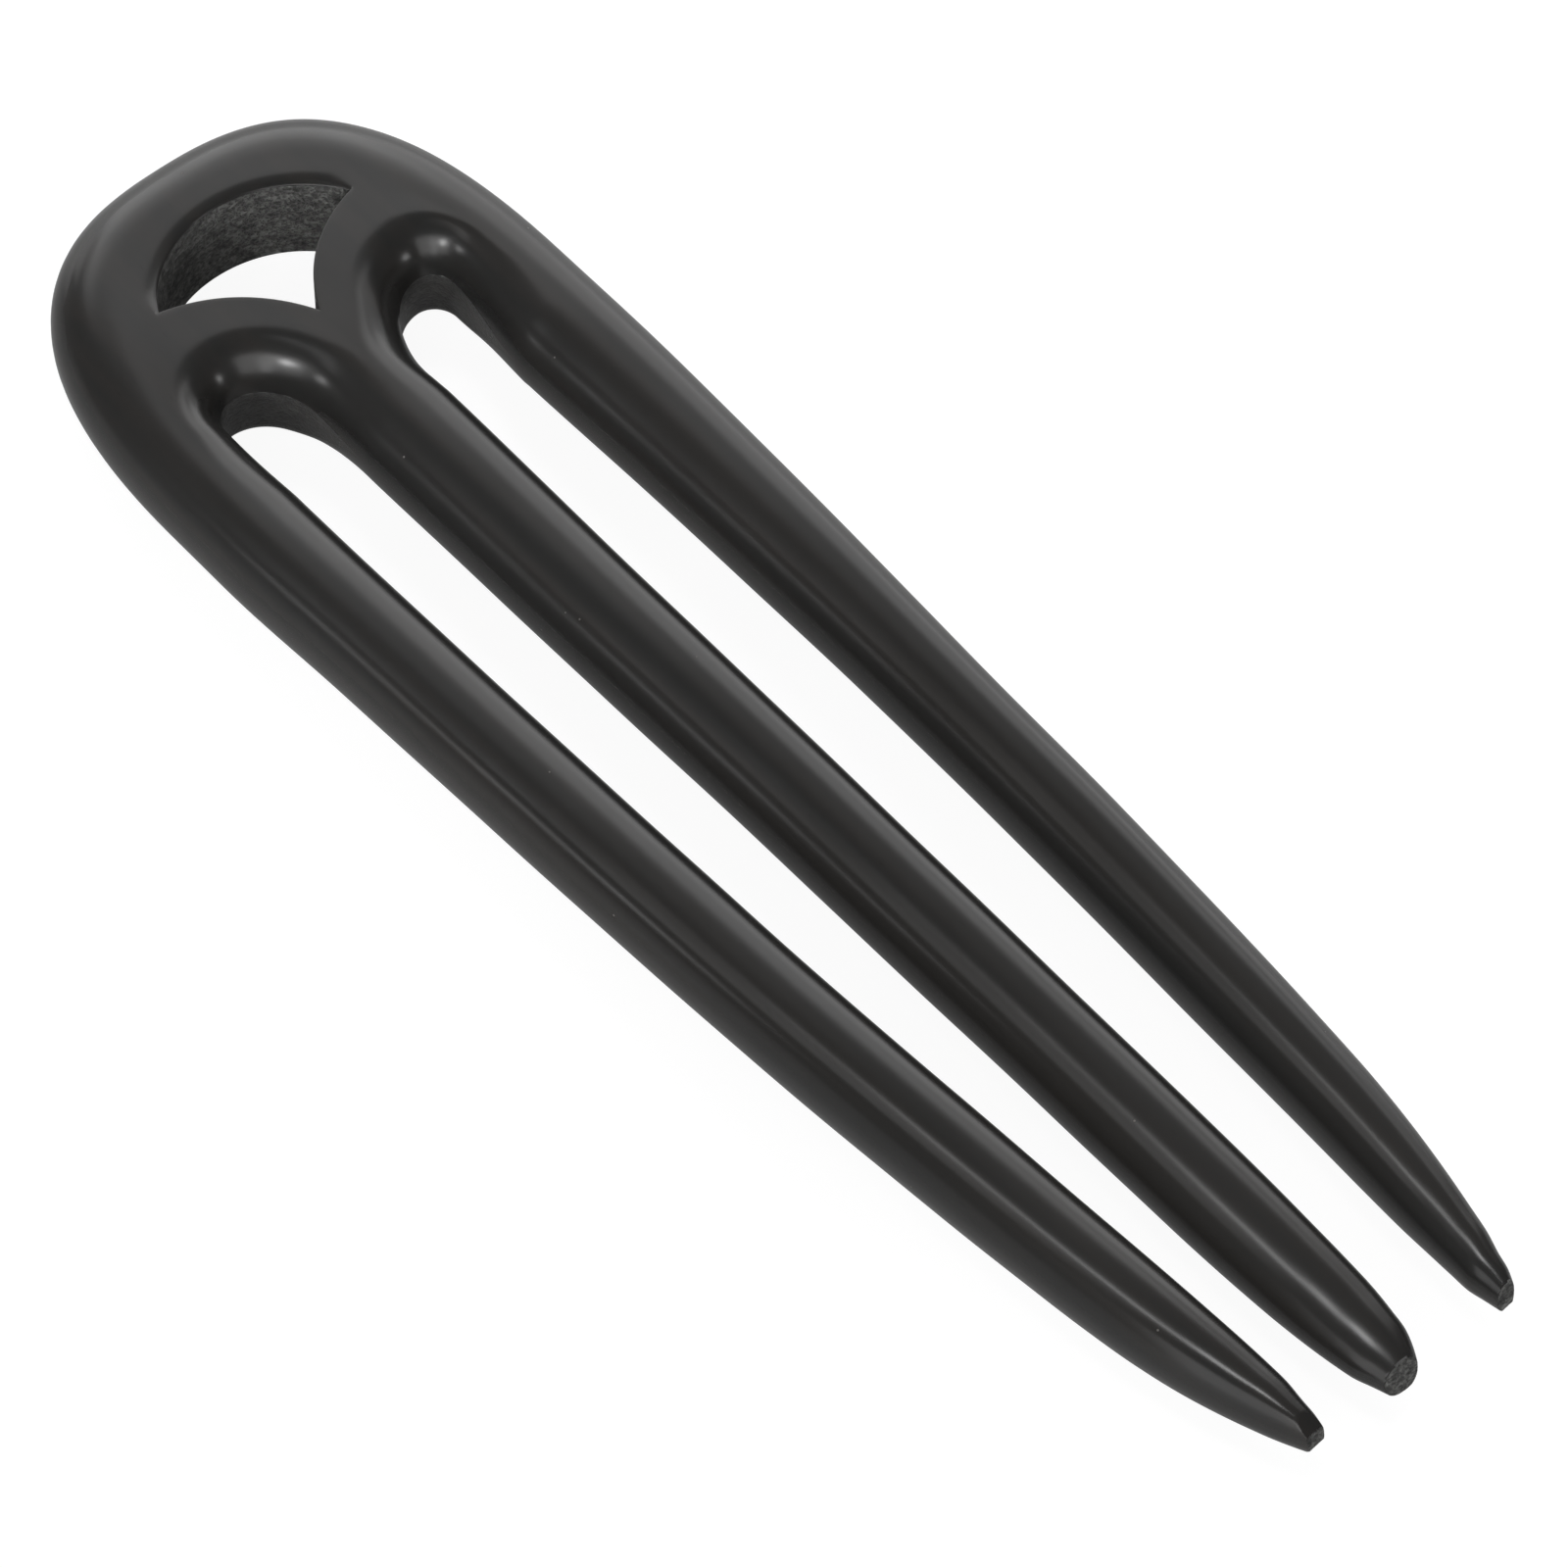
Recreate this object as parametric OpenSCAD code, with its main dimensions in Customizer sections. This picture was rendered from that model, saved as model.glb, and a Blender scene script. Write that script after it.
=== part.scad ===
// Three-prong hair fork carved from one piece of dark wood, lying on its back.
// X runs across, Y from the prong tips to the rounded head, Z up from the table.

/* [Overall] */
// whole length, middle prong tip to the top of the head
fork_len = 164.4; // [156:0.2:174]
// thickness of the flat head
head_t = 9.6; // [9.5:0.1:10.8]

/* [Head] */
// height of the arched part of the outline
arch_h = 31.7; // [29:0.1:34]
// squareness of the arch, 2 is an ellipse
arch_power = 2.64; // [2.3:0.01:3]
// how far the crown of the head leans to the right
crown_lean = 0.3; // [0:0.05:0.8]
// wood between the top of the head and the opening
rim_w = 8.7; // [7.5:0.1:10]
// how far the opening's outer corners lie below the top of the head
corner_down = 14.95; // [14:0.05:15.5]
// how far the opening's lower point lies below the top of the head
cusp_down = 23.8; // [22.5:0.1:25]
// opening width between its outer corners
open_w = 21.4; // [19:0.1:23]
// rise of the two lower edges of the opening above straight lines
lower_rise = 1.6; // [0.8:0.1:2]
// broken edge round the opening at the front
edge_break = 0.35; // [0.2:0.05:0.6]
// broken edge round the opening at the back
back_break = 0.1; // [0.05:0.05:0.4]

/* [Slots] */
// how far the slot tops lie below the top of the head
slot_down = 23.6; // [22.6:0.1:25]

/* [Rounding] */
// width of the rounding along the outer edge of the head
rim_roll = 4.8; // [3.6:0.1:5.4]
// width of the front rounding over the slot tops
slot_roll = 4.2; // [3:0.1:4.6]
// height of the sawn wall left under that rounding
wall_top = 5.4; // [5:0.1:6]
// width of the small rounding at the back of the slot tops
back_roll = 1; // [0.6:0.1:1.6]

/* [Facets] */
// steps from the middle of a prong round to its side
steps_across = 8; // [6:1:9]
// steps along a prong below its bend into the head
steps_prong = 20; // [14:1:22]
// steps in the bend of a prong into the head
steps_bend = 9; // [7:1:10]
// steps round the arch
steps_arch = 24; // [18:1:26]
// steps over a slot top
steps_arm = 12; // [9:1:14]

/* [Hidden] */
// stations up the prongs: share of the way from tip to slot top, then the centre and
// half width of the left, middle and right prongs, then half the depth of all three
SHARE = 0;
LEFT = 1;
MIDDLE = 3;
RIGHT = 5;
DEPTH = 7;
PRONGS = [
    // share  left x  half  mid x  half  right x half  depth
    [0.0000, -9.95, 0.60, -0.70, 1.35, 10.60, 0.60, 1.00],
    [0.0114, -10.10, 1.42, -0.50, 2.42, 11.05, 1.42, 1.62],
    [0.0220, -10.27, 1.85, -0.45, 2.93, 11.27, 1.82, 2.06],
    [0.0362, -10.53, 2.36, -0.45, 3.31, 11.60, 2.18, 2.48],
    [0.0539, -10.95, 2.79, -0.45, 3.64, 11.90, 2.47, 2.88],
    [0.0788, -11.50, 3.23, -0.50, 3.87, 12.30, 2.82, 3.24],
    [0.1107, -12.08, 3.59, -0.53, 4.03, 12.80, 3.14, 3.54],
    [0.1533, -12.70, 3.86, -0.53, 4.20, 13.36, 3.44, 3.78],
    [0.2101, -13.40, 4.07, -0.47, 4.30, 13.90, 3.67, 3.95],
    [0.2952, -14.28, 4.27, -0.45, 4.37, 14.60, 3.88, 4.12],
    [0.4088, -15.24, 4.45, -0.40, 4.56, 15.37, 4.05, 4.25],
    [0.5366, -16.00, 4.61, -0.32, 4.69, 16.00, 4.20, 4.36],
    [0.6643, -16.56, 4.69, -0.37, 4.87, 16.50, 4.57, 4.47],
    [0.7921, -17.07, 4.79, -0.40, 5.03, 16.82, 4.95, 4.60],
    [0.9000, -17.41, 4.98, -0.35, 5.16, 16.82, 5.22, 4.72],
];
// tips of the left, middle and right prongs above the lowest end of the fork
TIP_UP = [0.5, 0, 0.4];
// left and right slot tops: across position of the peak, its drop below the line of the
// slot tops, shifts of the outer and inner side from the prongs, heights of both parts
PEAK = 0;
DROP = 1;
OUT_SHIFT = 2;
IN_SHIFT = 3;
OUT_RISE = 4;
IN_RISE = 5;
SLOTS = [
    // peak   drop  outer shift  inner shift  outer rise  inner rise
    [-10.2, 0.5, -0.1, 0.15, 2.9, 6.3],
    [10.8, 0.4, 1.4, 0, 2.5, 10.3],
];

mid_z = head_t / 2;
top_y = fork_len / 2;
tip_y = -fork_len / 2;
slot_y = top_y - slot_down;
prong_len = slot_y - tip_y;
bend_y = tip_y + PRONGS[len(PRONGS) - 1][SHARE] * prong_len;
arch_y = top_y - arch_h;
// half height of the plain band kept round the side of every prong
side_band = 0.15;
// height above the table at which the slot walls turn into their back rounding
wall_bottom = back_roll;
// span over which the sawn slot wall fades into the round prongs
fade_from = bend_y + 1;
fade_to = slot_y - 3;
// shares of the bend spent on the slot's outer side, its inner side and the head's side
straight_share = 0.45;
inner_share = 0.6;
side_share = 0.25;
// angles on the slot top where the bend ends and where the middle prong starts
corner_angle = 62;
inner_angle = 20;
// share of the slot top's steps spent on its short outer part
outer_share = 0.15;
// pulls on the middle line of an outer prong as it bends to the opening's corner
bend_start = [0, 14];
bend_end = [0.9, 18];
// how the prongs' stations crowd toward the tips, and how fast the tips' offsets fade
crowding = 1.7;
tip_fade = 3;
// direction of the rib that runs from the opening's corner to the outline
corner_bearing = 134.7;
// across position of the opening's lower point
cusp_x = 0.1;
// half the angle over which the direction of the outline is taken
look_round = 0.5;
// reach of the rounding where a prong is round all over, more than any half width
full_roll = 9;

rib_n = 2 * steps_across;
prong_n = steps_prong + steps_bend;

function mix(a, b, t) = a + (b - a) * t;
function clip(t) = min(1, max(0, t));
function ease(t) = clip(t) * clip(t) * (3 - 2 * clip(t));

// smooth curve through one column of the prong stations
function row_of(s, i = 0) =
    (i >= len(PRONGS) - 2 || s < PRONGS[i + 1][SHARE]) ? i : row_of(s, i + 1);
function gap(i) = PRONGS[i + 1][SHARE] - PRONGS[i][SHARE];
function rise(i, c) = (PRONGS[i + 1][c] - PRONGS[i][c]) / gap(i);
function lean(i, c) =
    i == 0 ? rise(0, c) :
    i == len(PRONGS) - 1 ? 0 :
    (gap(i) * rise(i - 1, c) + gap(i - 1) * rise(i, c)) / (gap(i - 1) + gap(i));
function station(s, c) =
    let (i = row_of(s), h = gap(i), t = clip((s - PRONGS[i][SHARE]) / h))
    (1 + 2 * t) * (1 - t) * (1 - t) * PRONGS[i][c]
    + t * t * (3 - 2 * t) * PRONGS[i + 1][c]
    + h * t * (1 - t) * (1 - t) * lean(i, c)
    - h * t * t * (1 - t) * lean(i + 1, c);

// a prong's centre and half width at a share of its length
function centre(p, s) = station(s, LEFT + 2 * p);
function half(p, s) = station(s, LEFT + 2 * p + 1);
share_top = PRONGS[len(PRONGS) - 1][SHARE];

// outline of the head: a superellipse on the prongs' outer sides
out_left = centre(0, share_top) - half(0, share_top);
out_right = centre(2, share_top) + half(2, share_top);
arch_x = (out_left + out_right) / 2;
arch_w = (out_right - out_left) / 2;
function arch_reach(a) =
    pow(pow(abs(cos(a)) / arch_w, arch_power) + pow(abs(sin(a)) / arch_h, arch_power),
        -1 / arch_power);
function arch_pt(a) =
    [arch_x + crown_lean * pow(sin(a), 2), arch_y] + arch_reach(a) * [cos(a), sin(a)];
function arch_in(a) =
    let (d = arch_pt(a + look_round) - arch_pt(a - look_round))
    [-d[1], d[0]] / norm(d);

// opening: a round top over two bowed lower edges that meet in a point
corner_y = top_y - corner_down;
open_top = top_y - rim_w;
cusp = [cusp_x, top_y - cusp_down];
open_rise = open_top - corner_y;
open_r = (open_w * open_w / 4 + open_rise * open_rise) / (2 * open_rise);
open_c = [0, open_top - open_r];
open_turn = acos(open_w / 2 / open_r);
open_corner = [[-open_w / 2, corner_y], [open_w / 2, corner_y]];
open_mid = [0, (cusp[1] + open_top) / 2];
open_grow = 1 + edge_break / (open_top - open_mid[1]);
function open_arc(t) =
    let (a = mix(180 - open_turn, open_turn, t))
    open_c + open_r * [cos(a), sin(a)];
// t runs from the corner of one side to the cusp
function open_low(side, t) =
    let (a = open_corner[side],
         d = cusp - a,
         up = [-d[1], d[0]] / norm(d) * (side == 0 ? 1 : -1))
    a + d * t + up * lower_rise * 4 * t * (1 - t);
function grown(p) = open_mid + (p - open_mid) * open_grow;

// slot tops: a short round outer part and a long inner part round one peak
function hand(side) = side == 0 ? 1 : -1;
function prong_out(side) =
    centre(2 * side, share_top) + hand(side) * half(2 * side, share_top);
function prong_in(side) =
    centre(1, share_top) - hand(side) * half(1, share_top);
function part_reach(side, outer) =
    (outer ? prong_out(side) + SLOTS[side][OUT_SHIFT]
        : prong_in(side) + SLOTS[side][IN_SHIFT]) - SLOTS[side][PEAK];
function part_rise(side, outer) = SLOTS[side][outer ? OUT_RISE : IN_RISE];
function part_pt(side, outer, a) =
    [SLOTS[side][PEAK] + part_reach(side, outer) * cos(a),
     slot_y - SLOTS[side][DROP] - part_rise(side, outer) * (1 - sin(a))];
function part_in(side, outer, a) =
    unit([cos(a) / part_reach(side, outer), sin(a) / part_rise(side, outer)]);
// side of a slot between the straight prong and the slot top, t from 0 to 1
function slot_side_pt(side, outer, t) =
    let (a = [outer ? prong_out(side) : prong_in(side), bend_y], b = part_pt(side, outer, 0))
    [mix(a[0], b[0], ease(t)), mix(a[1], b[1], t)];
function unit(v) = v / norm(v);

// rounding profile: 0 at the side, 1 where the flat begins
function roll(q) = sqrt(max(0, 1 - pow(1 - clip(q), 2)));

// one rib from the inner point over the side and back under to the inner point
// spec: side point, inner point, inward direction, front and back roll,
// front and back height of the side, front and back height of the inner point
function rib(side, inner, dir, rolls, side_z, inner_z) =
    let (reach = (inner - side) * dir)
    concat(
        [for (k = [0:steps_across - 1])
            let (g = 1 - cos(90 * (steps_across - 1 - k) / (steps_across - 1)),
                 p = side + (inner - side) * g,
                 h = roll(reach * g / min(rolls[0], reach)))
            [p[0], p[1], mix(side_z[0], inner_z[0], h)]],
        [for (k = [0:steps_across - 1])
            let (g = 1 - cos(90 * k / (steps_across - 1)),
                 p = side + (inner - side) * g,
                 h = roll(reach * g / min(rolls[1], reach)))
            [p[0], p[1], mix(side_z[1], inner_z[1], h)]]);

// rolls and side heights along a slot's edge, by height up the fork
function round_share(y) = 1 - ease((y - fade_from) / (fade_to - fade_from));
function slot_rolls(y) =
    [mix(slot_roll, full_roll, round_share(y)), mix(back_roll, full_roll, round_share(y))];
function slot_side(y) =
    [mix(wall_top, mid_z + side_band, round_share(y)),
     mix(wall_bottom, mid_z - side_band, round_share(y))];
rim_side = [mid_z + side_band, mid_z - side_band];

// middle line of each prong: straight stations, then a bend to the opening
function prong_share(i) = share_top * pow(i / steps_prong, crowding);
function prong_y(p, s) =
    mix(tip_y, bend_y, s / share_top) + TIP_UP[p] * pow(1 - s / share_top, tip_fade);
function bezier(a, b, c, d, t) =
    a * pow(1 - t, 3) + b * 3 * t * pow(1 - t, 2) + c * 3 * t * t * (1 - t) + d * pow(t, 3);
function bend_pt(p, t) =
    let (a = [centre(p, share_top), bend_y])
    p == 1 ? mix(a, grown(cusp), t) :
    bezier(a, a + bend_start, a + [p == 0 ? bend_end[0] : -bend_end[0], bend_end[1]],
        grown(open_corner[p / 2]), t);
function bend_z(t) =
    let (h = mix(station(share_top, DEPTH), mid_z, ease(t)))
    [mid_z + h, mid_z - h];

// rib number i of a prong, counted from its tip, on its left (-1) or right (1) side
function prong_rib(p, i, lr) =
    i <= steps_prong ? straight_rib(p, prong_share(i), lr) :
    bend_rib(p, (i - steps_prong) / steps_bend, lr);
function straight_rib(p, s, lr) =
    let (c = centre(p, s), y = prong_y(p, s), h = station(s, DEPTH),
         rim = (p == 0 && lr < 0) || (p == 2 && lr > 0))
    rib([c + lr * half(p, s), y], [c, y], [-lr, 0],
        rim ? [rim_roll, rim_roll] : [full_roll, full_roll],
        rim_side, [mid_z + h, mid_z - h]);
function bend_rib(p, t, lr) =
    let (in_pt = bend_pt(p, t))
    (p == 0 && lr < 0) || (p == 2 && lr > 0)
    ? let (low = t < side_share,
           a = mix(0, 180 - corner_bearing, clip((t - side_share) / (1 - side_share))),
           b = p == 0 ? 180 - a : a,
           e = low ? [arch_x + lr * arch_w, mix(bend_y, arch_y, t / side_share)]
               : arch_pt(b))
      rib(e, in_pt, low ? [-lr, 0] : arch_in(b), [rim_roll, rim_roll],
          rim_side, bend_z(t))
    : p == 1
    ? let (side = lr < 0 ? 0 : 1,
           a = mix(0, inner_angle, clip((t - inner_share) / (1 - inner_share))),
           e = t < inner_share ? slot_side_pt(side, false, t / inner_share)
               : part_pt(side, false, a))
      rib(e, in_pt, part_in(side, false, a), slot_rolls(e[1]), slot_side(e[1]), bend_z(t))
    : let (side = p / 2,
           a = mix(0, corner_angle, clip((t - straight_share) / (1 - straight_share))),
           e = t < straight_share ? slot_side_pt(side, true, t / straight_share)
               : part_pt(side, true, a))
      rib(e, in_pt, part_in(side, true, a), slot_rolls(e[1]), slot_side(e[1]), bend_z(t));

// rib t of the way round the arch, left to right
function arch_rib(t) =
    let (b = mix(corner_bearing, 180 - corner_bearing, t))
    rib(arch_pt(b), grown(open_arc(t)), arch_in(b), [rim_roll, rim_roll],
        rim_side, [head_t, 0]);

// rib t of the way over a slot top, from the outer corner to the middle prong
function arm_rib(side, t) =
    let (over = t < outer_share,
         a = over ? mix(corner_angle, 90, t / outer_share)
             : mix(90, inner_angle, (t - outer_share) / (1 - outer_share)),
         e = part_pt(side, over, a))
    rib(e, grown(open_low(side, t)), part_in(side, over, a),
        slot_rolls(e[1]), slot_side(e[1]), [head_t, 0]);

// three runs of ribs: round the outside, round the left slot, round the right slot
OUTSIDE = [
    for (i = [0:prong_n]) prong_rib(0, i, -1),
    for (i = [1:steps_arch - 1]) arch_rib(i / steps_arch),
    for (i = [0:prong_n]) prong_rib(2, prong_n - i, 1)];
LEFT_SLOT = [
    for (i = [0:prong_n]) prong_rib(0, i, 1),
    for (i = [1:steps_arm - 1]) arm_rib(0, i / steps_arm),
    for (i = [0:prong_n]) prong_rib(1, prong_n - i, -1)];
RIGHT_SLOT = [
    for (i = [0:prong_n]) prong_rib(1, i, 1),
    for (i = [1:steps_arm - 1]) arm_rib(1, 1 - i / steps_arm),
    for (i = [0:prong_n]) prong_rib(2, prong_n - i, -1)];
RUNS = [OUTSIDE, LEFT_SLOT, RIGHT_SLOT];
run_start = [0, len(OUTSIDE) * rib_n, (len(OUTSIDE) + len(LEFT_SLOT)) * rib_n];

// number of a rib's point, taken from the run that owns a shared middle line
function inner_end(k) = k == 0 || k == rib_n - 1;
function point_of(run, i, k) =
    run == 1 && inner_end(k) && i <= prong_n ? point_of(0, i, k) :
    run == 2 && inner_end(k) && i <= prong_n
        ? point_of(1, prong_n + steps_arm + prong_n - i, k) :
    run == 2 && inner_end(k) && i >= prong_n + steps_arm
        ? point_of(0, i + steps_arch - steps_arm, k) :
    run_start[run] + i * rib_n + k;

// the opening's walls: one ring of points at the front and one at the back
LOOP = [
    for (i = [0:steps_arch - 1]) open_arc(i / steps_arch),
    for (i = [0:steps_arm - 1]) open_low(1, i / steps_arm),
    for (i = [0:steps_arm - 1]) open_low(0, 1 - i / steps_arm)];
loop_n = len(LOOP);
wall_start = (len(OUTSIDE) + len(LEFT_SLOT) + len(RIGHT_SLOT)) * rib_n;
function loop_rib(j) =
    j <= steps_arch ? [0, prong_n + j] :
    j <= steps_arch + steps_arm ? [2, prong_n + steps_arm - (j - steps_arch)] :
    [1, prong_n + steps_arm - (j - steps_arch - steps_arm)];
function ring_point(j, level) =
    let (r = loop_rib(j % loop_n))
    level == 0 ? point_of(r[0], r[1], 0) :
    level == 3 ? point_of(r[0], r[1], rib_n - 1) :
    wall_start + (level - 1) * loop_n + j % loop_n;

POINTS = [
    for (run = RUNS) for (r = run) each r,
    for (p = LOOP) [p[0], p[1], head_t - edge_break],
    for (p = LOOP) [p[0], p[1], back_break]];

function two(a, b, c, d) = [[a, b, c], [a, c, d]];
function skin(run) = [
    for (i = [0:len(RUNS[run]) - 2]) for (k = [0:rib_n - 2])
        let (a = point_of(run, i, k), b = point_of(run, i, k + 1),
             c = point_of(run, i + 1, k + 1), d = point_of(run, i + 1, k))
        each run == 0 ? two(a, b, c, d) : two(a, d, c, b)];
function tip_cap(left_run, left_i, right_run, right_i) =
    let (ring = concat(
        [for (k = [0:rib_n - 1]) point_of(left_run, left_i, k)],
        [for (k = [rib_n - 2:-1:1]) point_of(right_run, right_i, k)]))
    [for (k = [1:len(ring) - 2]) [ring[0], ring[k + 1], ring[k]]];
last = [for (run = RUNS) len(run) - 1];
FACES = concat(
    skin(0), skin(1), skin(2),
    [for (j = [0:loop_n - 1]) for (level = [0:2])
        each two(ring_point(j, level), ring_point(j + 1, level),
                 ring_point(j + 1, level + 1), ring_point(j, level + 1))],
    tip_cap(0, 0, 1, 0),
    tip_cap(1, last[1], 2, 0),
    tip_cap(2, last[2], 0, last[0]));

// the whole fork is one carved piece
module hair_fork() {
    color([0.11, 0.09, 0.08])
    polyhedron(points = POINTS, faces = FACES, convexity = 8);
}

hair_fork();
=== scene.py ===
import math

import bmesh
import bpy
import numpy as np
from bpy.props import FloatProperty, FloatVectorProperty, PointerProperty
from mathutils import Matrix, Vector


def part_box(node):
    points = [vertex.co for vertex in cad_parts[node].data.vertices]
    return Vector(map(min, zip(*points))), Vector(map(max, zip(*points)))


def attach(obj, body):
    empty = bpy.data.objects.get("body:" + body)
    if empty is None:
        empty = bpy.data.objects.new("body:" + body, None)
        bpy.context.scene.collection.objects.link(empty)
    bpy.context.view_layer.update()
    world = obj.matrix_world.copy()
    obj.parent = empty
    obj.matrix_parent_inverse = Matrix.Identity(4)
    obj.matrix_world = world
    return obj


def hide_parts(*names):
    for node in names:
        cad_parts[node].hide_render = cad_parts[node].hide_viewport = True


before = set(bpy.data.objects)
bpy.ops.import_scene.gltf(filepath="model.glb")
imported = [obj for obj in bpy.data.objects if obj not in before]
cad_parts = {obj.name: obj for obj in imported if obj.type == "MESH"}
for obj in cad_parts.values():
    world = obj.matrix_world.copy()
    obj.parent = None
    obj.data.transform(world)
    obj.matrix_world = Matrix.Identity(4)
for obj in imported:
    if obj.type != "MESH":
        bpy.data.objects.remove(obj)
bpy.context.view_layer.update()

bl_info = {
    "name": "Carved hair fork",
    "version": (1, 0, 0),
    "blender": (4, 5, 0),
    "location": "3D View > Sidebar > Hair fork",
    "description": "Carves a three-prong hair fork of dark polished wood and sets it on a pale floor",
    "category": "Add Mesh",
}

# The fork's names in the frame, and its box, which gives its length and thickness
NODE = "hair_fork"
BODY = "root"
LOW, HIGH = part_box(NODE)
MM = 0.001

# Head, in millimetres, as the fork lies on its back: its arch with the power of that superellipse,
# the rim over the opening, the opening's width, corners and cusp, how far its lower edges bulge up,
# and the slot tops. What ends in DOWN is taken from the top of the head.
ARCH_HEIGHT = 31.7
ARCH_POWER = 2.64
CROWN_LEAN = 0.3
RIM_WIDTH = 8.7
OPEN_WIDTH = 21.4
CORNER_DOWN = 14.95
CUSP_DOWN = 23.8
CUSP_X = 0.1
LOWER_RISE = 1.6
SLOT_DOWN = 23.6
# Widths of the roundings: round the rim, at the front and the back of a slot top, and on the prongs
RIM_ROLL = 4.8
SLOT_ROLL = 4.2
BACK_ROLL = 1.0
FULL_ROLL = 9.0
# Height where a slot top's sawn wall ends, and half the height of the straight band on a round side
WALL_TOP = 5.4
SIDE_BAND = 0.15
# Powers of the roundings, a quarter ellipse at 2 and fuller above it: on left sides and round the
# head, on right sides, at the tips and at the slot tops
SOFT_POWER = 2.8
RIGHT_POWER = 2.5
TIP_POWER = 2.2
SLOT_POWER = 2.0
# Share of a prong's length over which the tip's power gives way to the side's
TIP_POWER_SHARE = 0.12
# Share of a slot top's rounding left out where it meets the sawn wall, and how sawn that wall looks
WALL_CREASE = 0.035
SLOT_SAWN = 0.2
# Soft lip round the opening's front, and the small break at its back
LIP_WIDTH = 1.25
LIP_DEPTH = 0.42
BACK_BREAK = 0.12
# Share of the lip on the opening's lower edges, how far below the corners it starts to grow to the
# full lip, and over what height
LOW_LIP = 0.2
LIP_BELOW = 0.5
LIP_FADE = 3.0

# Stations up the prongs: share of the way from the tips to the slot tops, then centre and
# half width of the left, middle and right prong, then half the depth of all three
SHARE, DEPTH = 0, 7
STATIONS = np.array([
    # share  left x  half  mid x  half  right x half  depth
    [0.0000, -9.80, 0.95, -0.70, 1.65, 10.95, 0.95, 1.55],
    [0.0114, -10.02, 1.46, -0.50, 2.34, 11.20, 1.46, 1.98],
    [0.0220, -10.27, 1.82, -0.45, 2.90, 11.27, 1.78, 2.30],
    [0.0362, -10.53, 2.29, -0.45, 3.24, 11.60, 2.10, 2.62],
    [0.0539, -10.95, 2.71, -0.45, 3.56, 11.90, 2.37, 2.88],
    [0.0788, -11.50, 3.15, -0.50, 3.79, 12.30, 2.72, 3.24],
    [0.1107, -12.08, 3.51, -0.53, 3.95, 12.80, 3.04, 3.54],
    [0.1533, -12.70, 3.78, -0.53, 4.12, 13.36, 3.34, 3.78],
    [0.2101, -13.40, 3.99, -0.47, 4.22, 13.90, 3.57, 3.95],
    [0.2952, -14.29, 4.19, -0.46, 4.28, 14.60, 3.78, 4.12],
    [0.4088, -15.32, 4.34, -0.45, 4.43, 15.37, 3.95, 4.25],
    [0.5366, -16.12, 4.49, -0.39, 4.54, 16.00, 4.10, 4.36],
    [0.6643, -16.68, 4.57, -0.44, 4.72, 16.50, 4.51, 4.47],
    [0.7921, -17.19, 4.67, -0.47, 4.88, 16.82, 4.93, 4.60],
    [0.9000, -17.53, 4.86, -0.42, 5.01, 16.82, 5.22, 4.72],
])
# How far the left, middle and right tips stop short of the fork's lowest end, how far the low dome
# stands past each, and how far right of its middle line the crest of each prong runs
TIP_UP = [1.05, 0.6, 0.95]
TIP_DOME = 0.5
CREST_LEAN = [-0.3, 0.3, 0.2]
# Left and right slot tops
PEAK, DROP, OUT_SHIFT, IN_SHIFT, OUT_RISE, IN_RISE = range(6)
SLOTS = np.array([
    # peak x  drop  outer shift  inner shift  outer rise  inner rise
    [-10.2, 0.5, -0.1, 0.15, 2.9, 6.3],
    [10.8, 0.4, 1.4, 0.0, 2.5, 10.3],
])

# Shares of a bend that run along the slot's flank, for outer and middle prong, and along the rim's
# straight side, and the share of an arm over the outer quarter of its slot top
STRAIGHT_SHARE = 0.45
INNER_SHARE = 0.6
SIDE_SHARE = 0.25
OUTER_SHARE = 0.15
# Angles on a slot top where the outer and the middle prong's bends end, and the bearing on the arch
# of the rib from the opening's left corner
CORNER_ANGLE = 62.0
INNER_ANGLE = 20.0
CORNER_BEARING = 134.7
# The two handles of the curve through an outer bend's middle, both taken from its start
BEND_START = np.array([0.0, 14.0])
BEND_END = np.array([0.9, 18.0])
# Powers by which the rows crowd towards a tip, and by which TIP_UP fades up the prong
CROWDING = 1.7
TIP_FADE = 3

# Steps of the surface: points across a rib, which crowd at its edge and a little at its inner end,
# then rows along each stretch
ACROSS = 24
INNER_CROWD = 0.35
ALONG_CAP = 10
ALONG_PRONG = 150
ALONG_BEND = 40
ALONG_ARCH = 120
ALONG_ARM = 84
LIP_STEPS = 8
WALL_SHARES = [0.015, 0.12, 0.3, 0.5, 0.7, 0.88, 0.985]
# Rows to each side over which the room for the roundings is evened out, and the power of the soft
# lesser width
SMOOTH_ROWS = 8
LEAST_POWER = 4
# Heights between which a slot's edge turns from round to sawn: above the start of the bend, and
# below the slot's top
WALL_START = 1.0
WALL_FULL = 3.0
# Lengths and shares under TINY count as nothing, and points closer than WELD_GAP are one
TINY = 1e-9
WELD_GAP = 0.001


def ease(t):
    """Smooth step: 3 t squared minus 2 t cubed, with t held between 0 and 1."""
    t = np.clip(t, 0.0, 1.0)
    return t * t * (3.0 - 2.0 * t)


def mix(a, b, t):
    """Straight line from a to b: a plus t times their difference."""
    return a + (b - a) * t


def unit(v):
    """Vectors along the last axis divided by their length."""
    return v / np.linalg.norm(v, axis=-1, keepdims=True)


def turned(points):
    """Plane vectors turned a quarter turn left: (x, y) becomes (-y, x)."""
    return np.stack([-points[..., 1], points[..., 0]], -1)


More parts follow.
